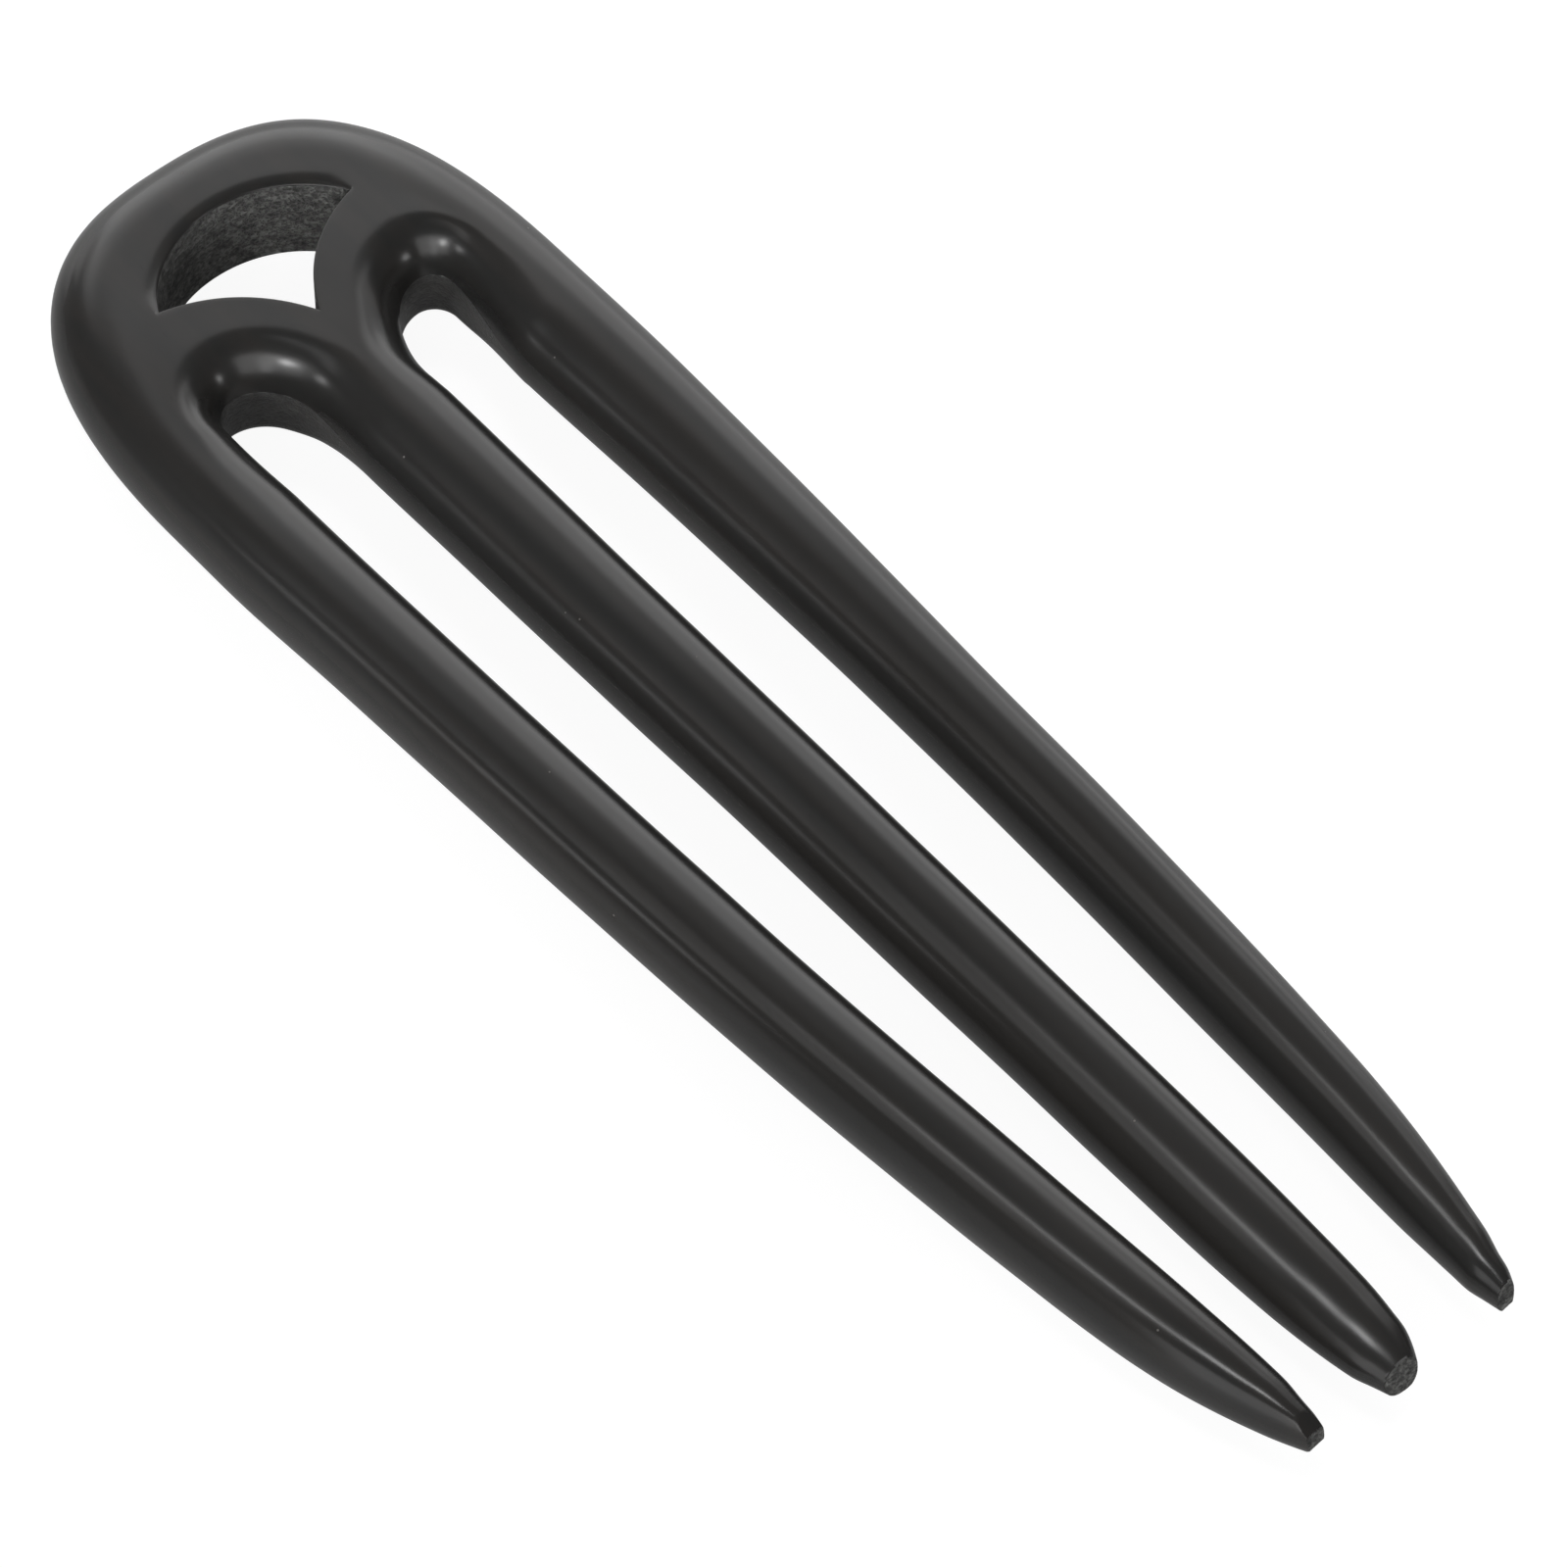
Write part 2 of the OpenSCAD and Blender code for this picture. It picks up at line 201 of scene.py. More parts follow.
# Heights and lines that the sizes above fix
LENGTH = (HIGH.y - LOW.y) / MM
THICK = (HIGH.z - LOW.z) / MM
MID_Z = THICK / 2
TOP_Y = LENGTH / 2
TIP_Y = -LENGTH / 2
SLOT_Y = TOP_Y - SLOT_DOWN
PRONG_LEN = SLOT_Y - TIP_Y
SHARE_TOP = STATIONS[-1, SHARE]
BEND_Y = TIP_Y + SHARE_TOP * PRONG_LEN
ARCH_Y = TOP_Y - ARCH_HEIGHT
FADE_FROM = BEND_Y + WALL_START
FADE_TO = SLOT_Y - WALL_FULL
RIM_SIDE = (MID_Z + SIDE_BAND, MID_Z - SIDE_BAND)


def station_slopes():
    """Slope at each station: the mean of the two neighbouring slopes, weighted by the other gap."""
    gap = np.diff(STATIONS[:, SHARE])[:, None]
    rise = np.diff(STATIONS, axis=0) / gap
    slopes = np.zeros_like(STATIONS)
    slopes[0] = rise[0]
    slopes[1:-1] = (gap[1:] * rise[:-1] + gap[:-1] * rise[1:]) / (gap[1:] + gap[:-1])
    return slopes


SLOPES = station_slopes()


def station(share, column):
    """Cubic Hermite curve through one column of the stations, at shares of the prong's length."""
    share = np.asarray(share, float)
    i = np.clip(np.searchsorted(STATIONS[:, SHARE], share, side="right") - 1, 0, len(STATIONS) - 2)
    gap = STATIONS[i + 1, SHARE] - STATIONS[i, SHARE]
    t = np.clip((share - STATIONS[i, SHARE]) / gap, 0.0, 1.0)
    ends = (1 + 2 * t) * (1 - t) ** 2 * STATIONS[i, column] + t * t * (3 - 2 * t) * STATIONS[i + 1, column]
    lean = t * (1 - t) ** 2 * SLOPES[i, column] - t * t * (1 - t) * SLOPES[i + 1, column]
    return ends + gap * lean


def centre(prong, share):
    """X of a prong's middle line: prong 0 is the left one, 1 the middle one and 2 the right one."""
    return station(share, 1 + 2 * prong)


def half(prong, share):
    """Half of a prong's width."""
    return station(share, 2 + 2 * prong)


# Outline of the head
OUT_LEFT = centre(0, SHARE_TOP) - half(0, SHARE_TOP)
OUT_RIGHT = centre(2, SHARE_TOP) + half(2, SHARE_TOP)
ARCH_X = (OUT_LEFT + OUT_RIGHT) / 2
ARCH_HALF = (OUT_RIGHT - OUT_LEFT) / 2


def arch(bearing):
    """Superellipse: the reach r along a bearing solves |r cos / a|^p + |r sin / b|^p = 1.

    Its crown leans right by CROWN_LEAN times the squared sine of the bearing.
    """
    a = np.radians(bearing)
    reach = ((np.abs(np.cos(a)) / ARCH_HALF) ** ARCH_POWER
             + (np.abs(np.sin(a)) / ARCH_HEIGHT) ** ARCH_POWER) ** (-1 / ARCH_POWER)
    lean = CROWN_LEAN * np.sin(a) ** 2
    return np.stack([ARCH_X + reach * np.cos(a) + lean, ARCH_Y + reach * np.sin(a)], -1)


# Opening of the head
CORNER_Y = TOP_Y - CORNER_DOWN
OPEN_TOP = TOP_Y - RIM_WIDTH
CUSP = np.array([CUSP_X, TOP_Y - CUSP_DOWN])
OPEN_RISE = OPEN_TOP - CORNER_Y
OPEN_RADIUS = (OPEN_WIDTH ** 2 / 4 + OPEN_RISE ** 2) / (2 * OPEN_RISE)
OPEN_CENTRE = np.array([0.0, OPEN_TOP - OPEN_RADIUS])
OPEN_TURN = math.degrees(math.acos(OPEN_WIDTH / 2 / OPEN_RADIUS))
CORNERS = np.array([[-OPEN_WIDTH / 2, CORNER_Y], [OPEN_WIDTH / 2, CORNER_Y]])
OPEN_MID = np.array([0.0, (CUSP[1] + OPEN_TOP) / 2])


def open_arc(t):
    """Arc of the opening's top, from its left corner at t = 0 to its right corner at t = 1."""
    a = np.radians(mix(180 - OPEN_TURN, OPEN_TURN, t))
    return OPEN_CENTRE + OPEN_RADIUS * np.stack([np.cos(a), np.sin(a)], -1)


def open_low(side, t):
    """Lower edge of the opening, from a corner to the cusp: a straight line plus a parabola upward."""
    t = np.asarray(t, float)[..., None]
    line = CUSP - CORNERS[side]
    up = unit(turned(line)) * (1 if side == 0 else -1)
    return CORNERS[side] + line * t + up * LOWER_RISE * 4 * t * (1 - t)


def lip_share(points):
    """How full the lip is at a point of the opening: 1 round the arc, LOW_LIP along the lower edges."""
    return mix(LOW_LIP, 1.0, ease((points[..., 1] - CORNER_Y + LIP_BELOW) / LIP_FADE))


def widened(points, width):
    """The opening's outline scaled about its middle, each point by its lip share of the width.

    The top of the outline moves outward by the whole width.
    """
    scale = 1 + width * lip_share(points) / (OPEN_TOP - OPEN_MID[1])
    return OPEN_MID + (points - OPEN_MID) * scale[..., None]


def lip(points):
    """The outer side of the lip round the opening."""
    return widened(points, LIP_WIDTH)


# Slot tops
def slot_side(side, outer):
    """Across position of the prong's side that the slot top starts from."""
    hand = 1 if side == 0 else -1
    if outer:
        return centre(2 * side, SHARE_TOP) + hand * half(2 * side, SHARE_TOP)
    return centre(1, SHARE_TOP) - hand * half(1, SHARE_TOP)


def slot_top(side, outer, angle):
    """Quarter ellipse from the prong's side (angle 0) to the slot's peak (90)."""
    row = SLOTS[side]
    reach = slot_side(side, outer) + row[OUT_SHIFT if outer else IN_SHIFT] - row[PEAK]
    rise = row[OUT_RISE if outer else IN_RISE]
    c, s = np.cos(np.radians(angle)), np.sin(np.radians(angle))
    return np.stack([row[PEAK] + reach * c, SLOT_Y - row[DROP] - rise * (1 - s)], -1)


def slot_flank(side, outer, t):
    """Side of a slot between the straight prong (t = 0) and its slot top (t = 1)."""
    low = np.array([slot_side(side, outer), BEND_Y])
    high = slot_top(side, outer, np.zeros(1))[0]
    return np.stack([mix(low[0], high[0], ease(t)), mix(low[1], high[1], t)], -1)


def round_share(y):
    """How round the slot's edge is at a height up the fork: 1 on the prongs, 0 at the slot tops."""
    return 1 - ease((y - FADE_FROM) / (FADE_TO - FADE_FROM))


def slot_profile(y):
    """Roll widths and side heights of a slot's edge, blended from the round prong to the sawn wall."""
    r = round_share(y)
    rolls = np.stack([mix(SLOT_ROLL, FULL_ROLL, r), mix(BACK_ROLL, FULL_ROLL, r)], -1)
    sides = np.stack([mix(WALL_TOP, RIM_SIDE[0], r), mix(BACK_ROLL, RIM_SIDE[1], r)], -1)
    return rolls, sides


# Ribs: straight lines in plan from the fork's edge to a shared inner line, one row of numbers for
# each. Side and inner end are X and Y; rolls and heights are pairs for the front and the back. The
# crease is the share of the rounding left out, a bent rib takes its distances from the whole edge
# and not from its own end, and the power is the rounding's.
SIDE, INNER = slice(0, 2), slice(2, 4)
ROLLS, SIDE_Z, INNER_Z = slice(4, 6), slice(6, 8), slice(8, 10)
CREASE, SAWN, BENT, POWER = 10, 11, 12, 13
RIB_NUMBERS = 14


def rib_rows(side, inner, rolls, side_z, inner_z, crease=0.0, sawn=0.0, bent=1.0, power=SOFT_POWER):
    """One row for each rib; a single value or pair is repeated for all of them."""
    rows = np.empty((len(side), RIB_NUMBERS))
    for part, value in ((SIDE, side), (INNER, inner), (ROLLS, rolls), (SIDE_Z, side_z), (INNER_Z, inner_z),
                        (CREASE, crease), (SAWN, sawn), (BENT, bent), (POWER, power)):
        rows[:, part] = value
    return rows


def is_rim(prong, hand):
    """Whether a prong's side, left at hand -1 and right at hand 1, is on the outside of the fork."""
    return (prong == 0 and hand < 0) or (prong == 2 and hand > 0)


def side_power(hand):
    """Power of the rounding on one side of a prong: the left sides are fuller than the right ones."""
    return SOFT_POWER if hand < 0 else RIGHT_POWER


def straight_ribs(prong, hand):
    """Ribs of one side of a prong, from its pole over the cap at its tip and up to its bend.

    Along the cap the width and depth swell as a quarter ellipse from nothing to the first station,
    and the dome falls from its height to nothing the same way.
    """
    cap = np.arange(ALONG_CAP) / ALONG_CAP
    steps = np.concatenate([np.zeros(ALONG_CAP), np.arange(ALONG_PRONG + 1) / ALONG_PRONG])
    swell = np.concatenate([np.sin(np.pi / 2 * cap), np.ones(ALONG_PRONG + 1)])
    share = SHARE_TOP * steps ** CROWDING
    y = mix(TIP_Y, BEND_Y, share / SHARE_TOP) + TIP_UP[prong] * (1 - share / SHARE_TOP) ** TIP_FADE
    y -= TIP_DOME * np.sqrt(np.maximum(0, 1 - swell ** 2))
    x = centre(prong, share)
    depth = station(share, DEPTH) * swell
    band = np.minimum(SIDE_BAND, depth)
    roll = RIM_ROLL if is_rim(prong, hand) else FULL_ROLL
    crest = x + CREST_LEAN[prong] * swell
    power = mix(TIP_POWER, side_power(hand), ease(share / TIP_POWER_SHARE))
    side = np.stack([x + hand * half(prong, share) * swell, y], -1)
    side_z = np.stack([MID_Z + band, MID_Z - band], -1)
    inner_z = np.stack([MID_Z + depth, MID_Z - depth], -1)
    return rib_rows(side, np.stack([crest, y], -1), roll, side_z, inner_z, bent=0.0, power=power)


def bend_line(prong, t):
    """Middle line of a prong's bend: straight for the middle prong, a Bezier curve for the others."""
    start = np.array([float(centre(prong, SHARE_TOP)) + CREST_LEAN[prong], BEND_Y])
    t = t[:, None]
    if prong == 1:
        return mix(start, lip(CUSP), t)
    pull = BEND_END * [1 if prong == 0 else -1, 1]
    end = lip(CORNERS[prong // 2])
    return (start * (1 - t) ** 3 + (start + BEND_START) * 3 * t * (1 - t) ** 2
            + (start + pull) * 3 * t * t * (1 - t) + end * t ** 3)


def slot_ribs(edge, inner, inner_z):
    """Ribs that start from a slot's edge, where the round prong turns into a sawn wall."""
    rolls, side_z = slot_profile(edge[:, 1])
    wall = 1 - round_share(edge[:, 1])
    peak = SLOTS[0 if edge[0, 0] < 0 else 1, PEAK]
    prong_power = np.where(edge[:, 0] < peak, side_power(1), side_power(-1))
    power = mix(prong_power, SLOT_POWER, wall)
    crease, sawn = WALL_CREASE * wall, SLOT_SAWN * wall
    return rib_rows(edge, inner, rolls, side_z, inner_z, crease=crease, sawn=sawn, power=power)


def bend_ribs(prong, hand):
    """Ribs of one side of a prong where it bends into the head."""
    t = np.arange(1, ALONG_BEND + 1) / ALONG_BEND
    inner = bend_line(prong, t)
    depth = mix(float(station(SHARE_TOP, DEPTH)), MID_Z, ease(t))
    inner_z = np.stack([MID_Z + depth, MID_Z - depth], -1)
    if is_rim(prong, hand):
        angle = np.clip((t - SIDE_SHARE) / (1 - SIDE_SHARE), 0, 1) * (180 - CORNER_BEARING)
        side = arch(180 - angle if prong == 0 else angle)
        low = t < SIDE_SHARE
        side[low] = np.stack([np.full(low.sum(), ARCH_X + hand * ARCH_HALF),
                              mix(BEND_Y, ARCH_Y, t[low] / SIDE_SHARE)], -1)
        power = mix(side_power(hand), SOFT_POWER, ease(t))
        return rib_rows(side, inner, RIM_ROLL, RIM_SIDE, inner_z, power=power)
    outer = prong != 1
    slot = prong // 2 if outer else (0 if hand < 0 else 1)
    flank_share, last = (STRAIGHT_SHARE, CORNER_ANGLE) if outer else (INNER_SHARE, INNER_ANGLE)
    edge = slot_top(slot, outer, np.clip((t - flank_share) / (1 - flank_share), 0, 1) * last)
    low = t < flank_share
    edge[low] = slot_flank(slot, outer, t[low] / flank_share)
    return slot_ribs(edge, inner, inner_z)


def prong_ribs(prong, hand):
    """Ribs of one side of a prong, from its pole to the end of its bend."""
    return np.concatenate([straight_ribs(prong, hand), bend_ribs(prong, hand)])


def arch_ribs():
    """Ribs over the top of the head, between the opening's two corners."""
    t = np.arange(1, ALONG_ARCH) / ALONG_ARCH
    bearing = mix(CORNER_BEARING, 180 - CORNER_BEARING, t)
    return rib_rows(arch(bearing), lip(open_arc(t)), RIM_ROLL, RIM_SIDE, (THICK, 0.0))


def arm_ribs(side):
    """Ribs over a slot top, from the opening's corner to its cusp."""
    t = np.arange(1, ALONG_ARM) / ALONG_ARM
    over_outer = slot_top(side, True, mix(CORNER_ANGLE, 90, t / OUTER_SHARE))
    over_inner = slot_top(side, False, mix(90, INNER_ANGLE, (t - OUTER_SHARE) / (1 - OUTER_SHARE)))
    edge = np.where((t < OUTER_SHARE)[:, None], over_outer, over_inner)
    return slot_ribs(edge, lip(open_low(side, t)), (THICK, 0.0))


def nearest(points, line):
    """Distance of each point to a line of points, and its place on that line as a decimal row."""
    start, step = line[:-1], np.diff(line, axis=0)
    away = points[:, None] - start
    t = np.clip(np.sum(away * step, -1) / np.maximum(np.sum(step * step, -1), TINY), 0, 1)
    distance = np.linalg.norm(away - t[..., None] * step, axis=-1)
    best = np.argmin(distance, axis=1)
    row = np.arange(len(points))
    return distance[row, best], best + t[row, best]


def at_rows(values, place):
    """Values of the rows at decimal row numbers, straight in between."""
    low = np.floor(place).astype(int)
    high = np.minimum(low + 1, len(values) - 1)
    return mix(values[low], values[high], (place - low)[:, None])


def climb(q, power):
    """Quarter of a rounded edge: the square root of 1 - (1 - q)^power, a quarter circle at power 2."""
    return np.sqrt(np.maximum(0, 1 - (1 - q) ** power))


def soft_least(a, b):
    """A smooth lesser of two widths: (a^-n + b^-n)^(-1/n), n being LEAST_POWER."""
    b = np.maximum(b, TINY)
    return b * (1 + (b / a) ** LEAST_POWER) ** (-1 / LEAST_POWER)


def smoothed(values):
    """Values of the rows averaged with their neighbours, SMOOTH_ROWS to each side, twice over."""
    for _ in range(2):
        padded = np.pad(values, SMOOTH_ROWS, mode="edge")
        total = np.concatenate([[0.0], np.cumsum(padded)])
        values = (total[2 * SMOOTH_ROWS + 1:] - total[:-2 * SMOOTH_ROWS - 1]) / (2 * SMOOTH_ROWS + 1)
    return values


def surface(rows):
    """Grid of points from the inner end over the side and back under it, with the sawn mask beside them.

    The height of a point depends on its distance d from the fork's edge. It climbs from the side's
    height to the inner height as climb(d / w), where w is the softly taken lesser one of two widths:
    the roll times half of the rib's power, and the room that the rib has. A crease leaves out the
    steepest first part of the climb.
    """
    u = np.arange(ACROSS) / (ACROSS - 1)
    spacing = mix(1 - np.cos(np.pi / 2 * u), (1 - np.cos(np.pi * u)) / 2, INNER_CROWD)
    side, inner, bent = rows[:, SIDE], rows[:, INNER], rows[:, BENT] > 0
    span = np.linalg.norm(inner - side, axis=-1)
    room = np.where(bent, smoothed(nearest(inner, side)[0]), span)
    front, back = [], []
    for g in spacing:
        plan = mix(side, inner, g)
        distance, place = nearest(plan, side)
        distance = np.where(bent, distance, span * g)
        edge = np.where(bent[:, None], at_rows(rows, place), rows)
        for layer, column in ((0, front), (1, back)):
            roll = edge[:, ROLLS][:, layer]
            power = edge[:, POWER]
            q = np.clip(distance / soft_least(roll * power / 2, room), 0, 1)
            skip = edge[:, CREASE] * (1 - layer)
            least = climb(skip, power)
            rise = (climb(skip + (1 - skip) * q, power) - least) / (1 - least)
            z = mix(edge[:, SIDE_Z][:, layer], rows[:, INNER_Z][:, layer], rise)
            sawn = edge[:, SAWN] * (q < TINY)
            column.append(np.column_stack([plan, z, sawn]))
    wall = [np.column_stack([side, mix(rows[:, SIDE_Z][:, 0], rows[:, SIDE_Z][:, 1], w), rows[:, SAWN]])
            for w in WALL_SHARES]
    return np.stack(front[::-1] + wall + back, 1)


def runs():
    """Three grids of ribs: round the outside, round the left slot and round the right slot."""
    outside = np.concatenate([prong_ribs(0, -1), arch_ribs(), prong_ribs(2, 1)[::-1]])
    left = np.concatenate([prong_ribs(0, 1), arm_ribs(0), prong_ribs(1, -1)[::-1]])
    right = np.concatenate([prong_ribs(1, 1), arm_ribs(1)[::-1], prong_ribs(2, -1)[::-1]])
    return surface(outside), surface(left), surface(right)


def opening_wall():
    """Grid of rings from the head's front down the opening to its back, with the sawn mask.

    The lip is a quarter ellipse, level at its outer side and steep at the wall, and the wall goes
    straight down to a small break at the back.
    """
    arc = open_arc(np.arange(ALONG_ARCH) / ALONG_ARCH)
    steps = np.arange(ALONG_ARM) / ALONG_ARM
    loop = np.concatenate([arc, open_low(1, steps), open_low(0, 1 - steps)])
    loop = np.concatenate([loop, loop[:1]])
    turn = np.pi / 2 * np.arange(LIP_STEPS + 1) / LIP_STEPS
    wall = mix(THICK - LIP_DEPTH, BACK_BREAK, np.array(WALL_SHARES + [1.0]))
    widths = np.concatenate([LIP_WIDTH * (1 - np.sin(turn)), np.zeros(len(wall)), [BACK_BREAK, LIP_WIDTH]])
    dips = np.concatenate([1 - np.cos(turn), np.ones(len(wall)), [0.0, 0.0]])
    levels = np.concatenate([np.full(LIP_STEPS + 1, THICK), wall + LIP_DEPTH, [0.0, 0.0]])
    masks = np.concatenate([np.zeros(LIP_STEPS), np.ones(1 + len(wall)), [0.0, 0.0]])
    depth = LIP_DEPTH * lip_share(loop)
    return np.stack([np.column_stack([widened(loop, w), level - depth * dip, np.full(len(loop), mask)])
                     for w, dip, level, mask in zip(widths, dips, levels, masks)])


# Flat cuts that trim the tips, and how far to each side of its tip a cut reaches
TIP_REACH = 6.0
TIP_CUTS = [
    # prong, point on the cut from the tip's middle, bearing and elevation of its normal, sawn share
    (0, (0.0, 0.05, 0.0), -84.0, 12.0, 1.0),
    (0, (0.0, 0.45, 1.0), -80.0, 52.0, 0.0),
    (0, (0.0, 0.22, -1.16), -84.0, -35.0, 1.0),
    (1, (0.0, 0.27, 0.0), -90.0, 14.0, 1.0),
    (2, (0.0, 0.05, 0.0), -84.0, 10.0, 1.0),
    (2, (0.0, -0.02, -1.33), -84.0, -35.0, 1.0),
]


def heading(bearing, elevation):
    """Unit step at a bearing from +X towards +Y and an elevation above the floor, in degrees."""
    b, e = math.radians(bearing), math.radians(elevation)
    return math.cos(e) * math.cos(b), math.cos(e) * math.sin(b), math.sin(e)


def trim_tips(points):
    """Moves what stands past a cut back onto it along the cut's normal, and masks what it moved."""
    points = points.copy()
    cut = np.zeros(len(points))
    for prong, spot, bearing, elevation, sawn in TIP_CUTS:
        tip = np.array([float(centre(prong, 0.0)), TIP_Y + TIP_UP[prong], MID_Z]) + spot
        normal = np.array(heading(bearing, elevation))
        near = np.abs(points[:, 0] - tip[0]) < TIP_REACH
        past = np.where(near, (points - tip) @ normal, 0.0)
        points -= np.maximum(past, 0)[:, None] * normal
        cut = np.where(past > 0, sawn, cut)
    return points, cut


# Slow waves left by the knife, and the length over which they grow from nothing at the tips
WAVES = [
    # share, millimetres of Y for one radian, radians for one millimetre of X and of Z, start in radians
    (1.0, 5.3, 0.31, 0.0, 0.0),
    (0.7, 2.9, -0.47, 0.6, 1.3),
    (0.6, 11.0, 0.22, 0.0, 2.1),
]
WAVE_FADE = 12.0


def carve_waves(points, normals, depth):
    """Slow hand-carved waves: the weighted mean of crossed sine waves, moved along the normals."""
    x, y, z = points.T
    wave = sum(share * np.sin(y / reach + across * x + up * z + start)
               for share, reach, across, up, start in WAVES) / sum(share for share, *_ in WAVES)
    calm = ease((y - TIP_Y) / WAVE_FADE)
    return points + normals * (depth * wave * calm)[:, None]


def grid_faces(rows, columns, start):
    """Quads of a grid whose points are numbered row by row from start."""
    n = start + np.arange(rows * columns).reshape(rows, columns)
    return np.stack([n[:-1, :-1], n[1:, :-1], n[1:, 1:], n[:-1, 1:]], -1).reshape(-1, 4)


def put_mesh(name, points, faces, masks):
    """Makes an object from arrays: points in millimetres, quads, and one value per point for each mask."""
    mesh = bpy.data.meshes.new(name)
    mesh.vertices.add(len(points))
    mesh.vertices.foreach_set("co", (points * MM).ravel())
    mesh.loops.add(faces.size)
    mesh.loops.foreach_set("vertex_index", faces.ravel())
    mesh.polygons.add(len(faces))
    mesh.polygons.foreach_set("loop_start", np.arange(0, faces.size, 4))
    mesh.polygons.foreach_set("loop_total", np.full(len(faces), 4))
    for mask, values in masks.items():
        mesh.attributes.new(mask, "FLOAT", "POINT").data.foreach_set("value", values)
    mesh.update(calc_edges=True)
    mesh.validate()
    obj = bpy.data.objects.new(name, mesh)
    bpy.context.scene.collection.objects.link(obj)
    return obj


def weld(obj, gap):
    """Merges points that meet, which closes the seams and the poles, and turns the faces outward."""
    bm = bmesh.new()
    bm.from_mesh(obj.data)
    bmesh.ops.remove_doubles(bm, verts=bm.verts, dist=gap)
    bmesh.ops.recalc_face_normals(bm, faces=bm.faces)
    bm.to_mesh(obj.data)
    bm.free()


def vertex_vectors(mesh, key):
    """One vector for each vertex: its place for the key "co", its normal for "normal"."""
    vectors = np.empty(len(mesh.vertices) * 3)
    mesh.vertices.foreach_get(key, vectors)
    return vectors.reshape(-1, 3)


def build_fork(shape):
    """The whole fork as one closed surface, with masks for its sawn walls and its cut tips."""
    grids = list(runs()) + [opening_wall()]
    grids[1], grids[2] = grids[1][:, ::-1], grids[2][:, ::-1]
    points = np.concatenate([grid.reshape(-1, 4) for grid in grids])
    starts = np.cumsum([0] + [grid.shape[0] * grid.shape[1] for grid in grids])
    faces = np.concatenate([grid_faces(*grid.shape[:2], start) for grid, start in zip(grids, starts)])
    trimmed, cut = trim_tips(points[:, :3])
    fork = put_mesh("carved_fork", trimmed, faces, {"sawn": points[:, 3], "cut": cut})
    weld(fork, WELD_GAP * MM)
    mesh = fork.data
    places, normals = vertex_vectors(mesh, "co") / MM, vertex_vectors(mesh, "normal")
    placed = carve_waves(places, normals, shape.carving_depth / MM)
    placed[:, 2] = np.clip(placed[:, 2], 0.0, None)
    mesh.vertices.foreach_set("co", (placed * MM).ravel())
    mesh.update()
    mesh.shade_smooth()
    mesh.set_sharp_from_angle(angle=shape.crease_angle)
    return fork


# Wood: noise scales across, along and through the grain, for each metre
STREAK_SCALE = (420, 14, 420)
FIBRE_SCALE = (5200, 130, 5200)
PORE_SCALE = (3400, 420, 3400)
PATCH_SCALE = (160, 40, 160)
LUMP_SCALE = (700, 700, 1100)
PIT_SCALE = (2600, 2600, 3600)
# Noise values between which streaks, pores, lumps and the ground between pits go from none to full
STREAK_RANGE = (0.3, 0.7)
PORE_RANGE = (0.70, 0.80)
LUMP_RANGE = (0.25, 0.7)
PIT_RANGE = (0.36, 0.58)
# How strongly pores and fibres show, how pale a pit is beside the ground between pits, and how high
# that ground stands beside the lumps
PORE_SHARE = 0.25
FIBRE_HEIGHT = 0.25
PIT_TONE = 0.35
PIT_HEIGHT = 0.6
# Dust: cells for each metre, radius of a speck in its cell, share of cells that have one, and the
# factor that turns a cell's colour into its chance
DUST_CELLS = 520.0
SPECK_RADIUS = 0.05
DUST_SHARE = 0.15
DUST_SHUFFLE = 7.31
# Roughness: how far patches and fibres change the polish, and that of sawn walls and dust
PATCH_ROUGHNESS = 0.10
FIBRE_ROUGHNESS = 0.02
SAWN_ROUGHNESS = 0.72
DUST_ROUGHNESS = 0.9
# Bumps: strength, and height in metres
GRAIN_BUMP = (0.08, 0.00002)
SAWN_BUMP = (1.0, 0.00022)
SPECK_BUMP = (0.6, 0.0001)


def new_group(name, inputs, outputs):
    """A shader node group with sockets: inputs as (name, kind, default) and outputs as (name, kind)."""
    group = bpy.data.node_groups.new(name, "ShaderNodeTree")
    for label, kind, default in inputs:
        socket = group.interface.new_socket(label, in_out="INPUT", socket_type="NodeSocket" + kind)
        if default is not None:
            socket.default_value = default
    for label, kind in outputs:
        group.interface.new_socket(label, in_out="OUTPUT", socket_type="NodeSocket" + kind)
    return group, group.nodes.new("NodeGroupInput"), group.nodes.new("NodeGroupOutput")


def feed(tree, node, inputs):
    """Fills a node's inputs, by name or number: a socket is linked and a plain value is set."""
    for key, value in inputs.items():
        if isinstance(value, bpy.types.NodeSocket):
            tree.links.new(value, node.inputs[key])
        else:
            node.inputs[key].default_value = value
    return node


def add(tree, kind, inputs=None, **settings):
    """Adds a node, sets its properties and fills its inputs."""
    node = tree.nodes.new("ShaderNode" + kind)
    for key, value in settings.items():
        setattr(node, key, value)
    return feed(tree, node, inputs or {})


def maths(tree, operation, *values):
    """A Math node's output for the given values or sockets."""
    return add(tree, "Math", operation=operation, inputs=dict(enumerate(values))).outputs[0]


def stretched_noise(tree, vector, stretch, **inputs):
    """Noise on coordinates scaled by stretch, so that its spots run along the grain."""
    mapping = add(tree, "Mapping", inputs={"Vector": vector, "Scale": stretch})
    return add(tree, "TexNoise", inputs={"Vector": mapping.outputs[0], "Scale": 1.0, **inputs}).outputs[0]


def between(tree, value, limits):
    """0 below the lower limit, 1 above the upper one, smooth in between."""
    inputs = {"Value": value, "From Min": limits[0], "From Max": limits[1]}
    return add(tree, "MapRange", interpolation_type="SMOOTHSTEP", inputs=inputs).outputs[0]


